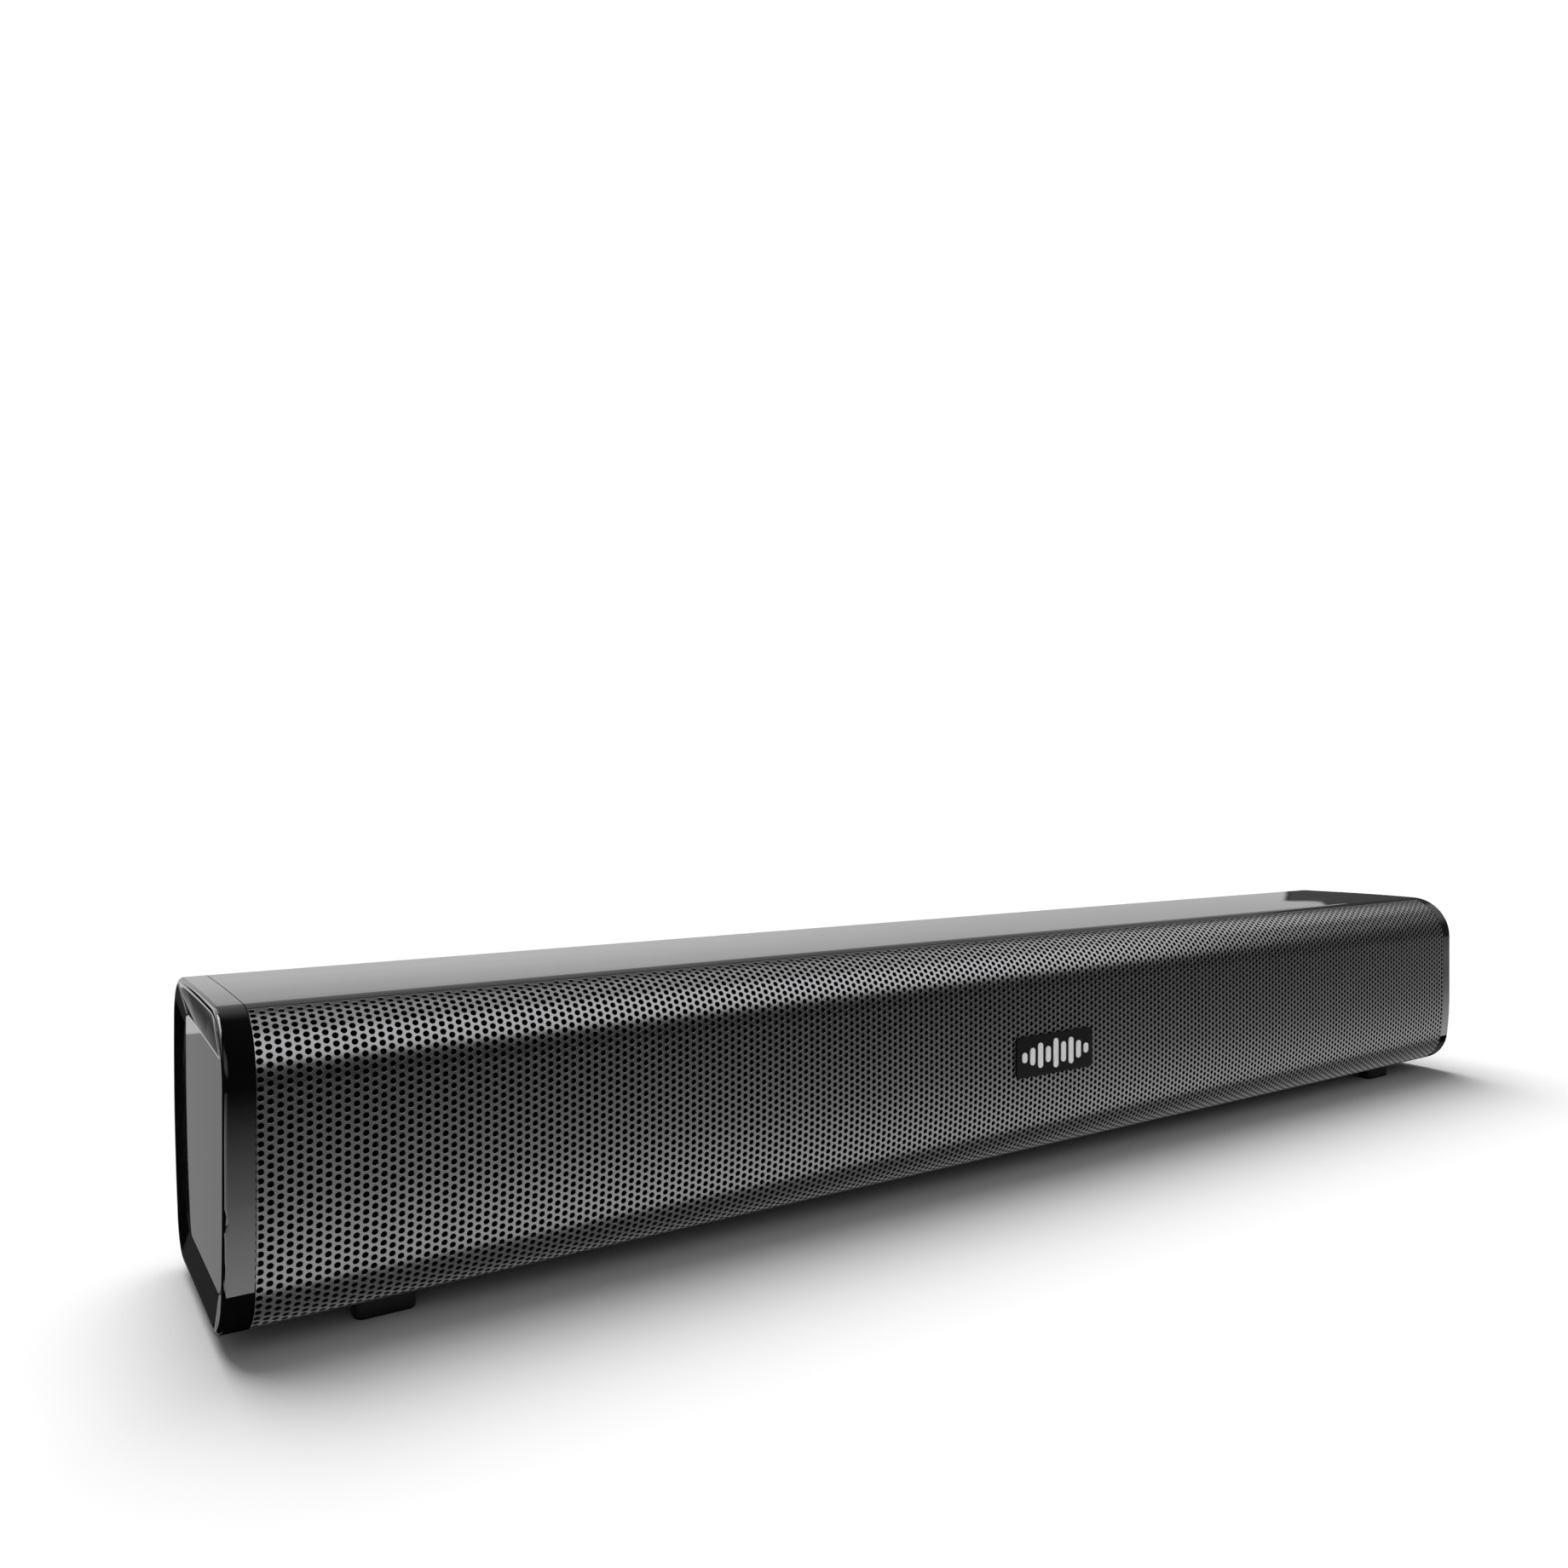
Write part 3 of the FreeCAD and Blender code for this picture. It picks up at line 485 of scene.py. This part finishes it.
def surrounds_and_spiders():
    """The half roll in front of each cone and the corrugated cloth behind it."""
    for side in ("left", "right"):
        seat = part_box(side + "_surround")[1][1]
        roll, middle, thick = 2.0 * MM, 20.0 * MM, 0.5 * MM
        bow = [math.pi * k / 12 for k in range(13)]
        lift = seat - 0.3 * MM
        outer = [(middle + roll * math.cos(t), lift - thick / 2 - (roll - thick / 2) * math.sin(t))
                 for t in bow]
        inner = [(middle + (roll - thick) * math.cos(t), lift - (roll - thick) * math.sin(t) * 0.85)
                 for t in bow]
        flat_out, flat_in = (23.2 * MM, lift - 0.1 * MM), (17.0 * MM, lift - 0.1 * MM)
        profile = [(flat_out[0], seat), (flat_out[0], seat - 0.45 * MM)] + outer
        profile += [(flat_in[0], seat - 0.45 * MM), (flat_in[0], seat)]
        profile += [(r, y) for r, y in reversed(inner)]
        ring = soft_ring(side + "_half_roll_surround", side + "_surround", profile,
                         MATERIALS["surround_rubber"])

        inner_r, outer_r, fold = 8.4 * MM, 15.2 * MM, 0.3 * MM
        waves, steps = 3, 48
        rim_r, back = 17.0 * MM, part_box(side + "_spider")[1][1]
        front = []
        for k in range(steps + 1):
            r = inner_r + (outer_r - inner_r) * k / steps
            wave = math.sin(2 * math.pi * waves * k / steps)
            front.append((r, back - 0.75 * MM + fold * wave))
        front.append((rim_r, back - 0.4 * MM))
        under = [(r, min(y + 0.32 * MM, back)) for r, y in reversed(front)]
        ring = soft_ring(side + "_corrugated_spider", side + "_spider", front + under,
                         MATERIALS["spider_cloth"])


def button_icons():
    """Small raised signs on the buttons: power, source, plus and minus."""
    lift = 0.12 * MM
    for name in ("power", "source", "volume_up", "volume_down"):
        low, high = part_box(name + "_button")
        face = high[0] - 0.03 * MM
        z = (low[2] + high[2]) / 2
        y = (low[1] + high[1]) / 2
        shapes = {
            "power": [arc_strip(y, z, 1.1 * MM, 0.3 * MM, 125, 415),
                      bar(y, z + 0.75 * MM, 0.15 * MM, 0.75 * MM)],
            "source": [arc_strip(y, z, 1.15 * MM, 0.3 * MM, 0, 360), bar(y, z, 0.4 * MM, 0.4 * MM)],
            "volume_up": [bar(y, z, 1.2 * MM, 0.17 * MM), bar(y, z, 0.17 * MM, 1.2 * MM)],
            "volume_down": [bar(y, z, 1.2 * MM, 0.17 * MM)],
        }[name]
        verts, faces = [], []
        for flat, quads in shapes:
            n, first = len(flat), len(verts)
            verts += [(face, a, b) for a, b in flat] + [(face + lift, a, b) for a, b in flat]
            used = {(a, b) for q in quads for a, b in zip(q, q[1:] + q[:1])}
            for q in quads:
                faces.append(tuple(first + n + v for v in q))
                faces.append(tuple(first + v for v in reversed(q)))
            for a, b in used:
                if (b, a) not in used:
                    faces.append((first + a, first + b, first + n + b, first + n + a))
        icon = mesh_object(name + "_icon", verts, faces, MATERIALS["badge_silver"])
        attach(icon, name + "_button")


def bar(y, z, half_y, half_z):
    """A flat upright rectangle, as one quad."""
    flat = [(y - half_y, z - half_z), (y + half_y, z - half_z),
            (y + half_y, z + half_z), (y - half_y, z + half_z)]
    return flat, [(0, 1, 2, 3)]


def arc_strip(y, z, radius, width, start, end, steps=28):
    """A flat arc from start to end degrees, as a strip of quads."""
    flat, quads = [], []
    whole = end - start == 360
    count = steps if whole else steps + 1
    for k in range(count):
        a = math.radians(start + (end - start) * k / steps)
        flat += [(y + r * math.cos(a), z + r * math.sin(a)) for r in (radius - width / 2, radius + width / 2)]
    for k in range(steps):
        a, b = 2 * k, 2 * (k + 1) % len(flat)
        quads.append((a, a + 1, b + 1, b))
    return flat, quads


GRILLE = []
dress_nodes()
perforated_grille()
backing_cloth()
surrounds_and_spiders()
button_icons()


# ---- studio -----------------------------------------------------------------------------
def camera():
    """Level, with the frame shifted so that uprights stay upright."""
    data = bpy.data.cameras.new("camera")
    data.lens = CAMERA_LENS
    data.sensor_width = 36
    data.shift_y = HORIZON_SHIFT
    data.clip_start = 0.01
    obj = bpy.data.objects.new("camera", data)
    obj.location = (CAMERA_AT[0], CAMERA_AT[1], CAMERA_HEIGHT)
    obj.rotation_euler = (math.pi / 2, 0, -math.radians(CAMERA_HEADING))
    bpy.context.scene.collection.objects.link(obj)
    bpy.context.scene.camera = obj


class Sums:
    """Small builder of math nodes."""

    def __init__(self, tree):
        self.tree = tree

    def math(self, kind, *values):
        node = self.tree.nodes.new("ShaderNodeMath")
        node.operation = kind
        for i, value in enumerate(values):
            if isinstance(value, (int, float)):
                node.inputs[i].default_value = value
            else:
                self.tree.links.new(value, node.inputs[i])
        return node.outputs[0]

    def ramp(self, value, start, end):
        """0 before start, 1 after end, in a smooth step; start may be above end."""
        node = self.tree.nodes.new("ShaderNodeMapRange")
        node.interpolation_type = "SMOOTHSTEP"
        node.inputs["From Min"].default_value = start
        node.inputs["From Max"].default_value = end
        self.tree.links.new(value, node.inputs["Value"])
        return node.outputs["Result"]


def studio_world():
    """White for the camera, even light for matt surfaces, and soft boxes for gloss to mirror."""
    world = bpy.data.worlds.new("studio")
    world.use_nodes = True
    tree = world.node_tree
    tree.nodes.clear()
    sums = Sums(tree)
    place = tree.nodes.new("ShaderNodeTexCoord")
    split = tree.nodes.new("ShaderNodeSeparateXYZ")
    tree.links.new(place.outputs["Generated"], split.inputs[0])
    x, y, z = split.outputs
    rise = sums.math("MULTIPLY", sums.math("ARCSINE", z), 180 / math.pi)
    heading = sums.math("MULTIPLY", sums.math("ARCTAN2", x, y), 180 / math.pi)

    def soft_box(left, right, low, high, edge_x, edge_low, edge_high, strength):
        parts = [sums.ramp(heading, left - edge_x, left + edge_x),
                 sums.ramp(heading, right + edge_x, right - edge_x),
                 sums.ramp(rise, low - edge_low, low + edge_low),
                 sums.ramp(rise, high + edge_high, high - edge_high)]
        total = strength
        for part in parts:
            total = sums.math("MULTIPLY", part, total)
        return total

    def between(value, start, end, at_start, at_end):
        step = sums.math("MULTIPLY", sums.ramp(value, start, end), at_end - at_start)
        return sums.math("ADD", at_start, step)

    # The boxes lean to the right as they rise, and the far end of the wall does so more.
    lean = sums.math("MULTIPLY", sums.ramp(rise, 4.5, 9), -1.8)
    far_lean = sums.math("MULTIPLY", sums.math("POWER", sums.ramp(rise, 4.25, 5.0), 2.0), -1.55)
    far_lean = sums.math("MULTIPLY", far_lean, sums.ramp(heading, 40, 50))
    heading = sums.math("ADD", sums.math("ADD", heading, lean), far_lean)
    glow = soft_box(*BACK_WALL)
    glow = sums.math("MULTIPLY", glow, between(rise, 6, 17, 1.0, 0.42))
    glow = sums.math("MULTIPLY", glow, between(heading, 16, 56, 1.0, 0.74))
    for row in SOFT_BOXES:
        glow = sums.math("ADD", glow, soft_box(*row))
    path = tree.nodes.new("ShaderNodeLightPath")
    fill = tree.nodes.new("ShaderNodeMix")
    fill.inputs["A"].default_value = WORLD_FILL
    fill.inputs["B"].default_value = BACKDROP
    tree.links.new(path.outputs["Is Camera Ray"], fill.inputs["Factor"])
    seen = tree.nodes.new("ShaderNodeMix")
    tree.links.new(fill.outputs["Result"], seen.inputs["A"])
    tree.links.new(path.outputs["Is Glossy Ray"], seen.inputs["Factor"])
    tree.links.new(glow, seen.inputs["B"])
    back = tree.nodes.new("ShaderNodeBackground")
    back.inputs["Color"].default_value = (1, 1, 1, 1)
    tree.links.new(seen.outputs["Result"], back.inputs["Strength"])
    out = tree.nodes.new("ShaderNodeOutputWorld")
    tree.links.new(back.outputs[0], out.inputs["Surface"])
    bpy.context.scene.world = world


def floor():
    """A pale floor that runs out of sight, left out of mirror images."""
    size = 30.0
    verts = [(-size, -size, 0), (size, -size, 0), (size, size, 0), (-size, size, 0)]
    pale = material("floor_pale", (0.93, 0.93, 0.93), 0.9, variation=0.01, grain=3, specular=0.0)
    obj = mesh_object("floor", verts, [(0, 1, 2, 3)], pale)
    obj.visible_glossy = False


def floor_card():
    """A bright strip in front of the bar that gloss and the grille mirror; the side panels don't."""
    near, far = -57 * MM, -330 * MM
    dim, full = -290 * MM, -78 * MM       # it fades forwards between these
    left, right, above_floor = -0.5, 1.6, 0.5 * MM
    verts = [(x, y, above_floor) for x, y in ((left, near), (right, near), (right, far), (left, far))]
    mat = bpy.data.materials.new("card_glow")
    mat.use_nodes = True
    tree = mat.node_tree
    tree.nodes.clear()
    sums = Sums(tree)
    place = tree.nodes.new("ShaderNodeTexCoord")
    split = tree.nodes.new("ShaderNodeSeparateXYZ")
    tree.links.new(place.outputs["Object"], split.inputs[0])
    share = sums.math("DIVIDE", sums.math("SUBTRACT", split.outputs["Y"], dim), full - dim)
    fade = sums.math("MULTIPLY", sums.math("POWER", sums.math("MAXIMUM", share, 0.0), 1.6), 3.0)
    to_right = sums.math("MULTIPLY", sums.ramp(split.outputs["X"], -0.15, 0.35), -0.42)
    fade = sums.math("MULTIPLY", fade, sums.math("ADD", 1.0, to_right))
    fade = sums.math("MULTIPLY", fade, sums.ramp(split.outputs["X"], -0.5, -0.4))
    far_right = sums.math("MULTIPLY", sums.ramp(split.outputs["X"], 0.5, 0.62), 0.4)
    far_right = sums.math("MULTIPLY", far_right, sums.ramp(split.outputs["Y"], far, dim))
    glow = tree.nodes.new("ShaderNodeEmission")
    tree.links.new(sums.math("ADD", fade, far_right), glow.inputs["Strength"])
    out = tree.nodes.new("ShaderNodeOutputMaterial")
    tree.links.new(glow.outputs[0], out.inputs["Surface"])
    obj = mesh_object("card", verts, [(3, 2, 1, 0)], mat)
    obj.visible_camera = False
    obj.visible_diffuse = False
    obj.visible_shadow = False
    shown_in = bpy.data.collections.new("shown_in_" + obj.name)
    for other in list(bpy.data.objects):
        if other.type == "MESH" and not other.name.endswith("_end_panel"):
            shown_in.objects.link(other)
    obj.light_linking.receiver_collection = shown_in


def grille_lamp(name, at, tilt, size, power):
    """A long soft lamp along the bar that lights only the grille; a tilt of 0 shines straight down."""
    data = bpy.data.lights.new(name, "AREA")
    data.shape = "RECTANGLE"
    data.size, data.size_y = size
    data.energy = power
    obj = bpy.data.objects.new(name, data)
    obj.location = at
    obj.rotation_euler = (math.radians(tilt), 0, 0)
    obj.visible_camera = False
    bpy.context.scene.collection.objects.link(obj)
    only_grille(obj)


def only_grille(lamp):
    """Links the lamp to the grille's pieces."""
    lit = bpy.data.collections.new("lit_by_" + lamp.name)
    for piece in GRILLE:
        lit.objects.link(piece)
    lamp.light_linking.receiver_collection = lit


def sun():
    """A very wide sun from behind and above, so that the bar's soft shadow falls to its front."""
    data = bpy.data.lights.new("sun", "SUN")
    data.energy = SUN_STRENGTH
    data.angle = math.radians(SUN_SPREAD)
    obj = bpy.data.objects.new("sun", data)
    obj.rotation_euler = Vector(SUN_WAY).to_track_quat("-Z", "Y").to_euler()
    obj.visible_glossy = False
    bpy.context.scene.collection.objects.link(obj)


camera()
studio_world()
sun()
floor()
floor_card()
for lamp in GRILLE_LAMPS:
    grille_lamp(*lamp)
bpy.context.scene.view_settings.view_transform = "Standard"
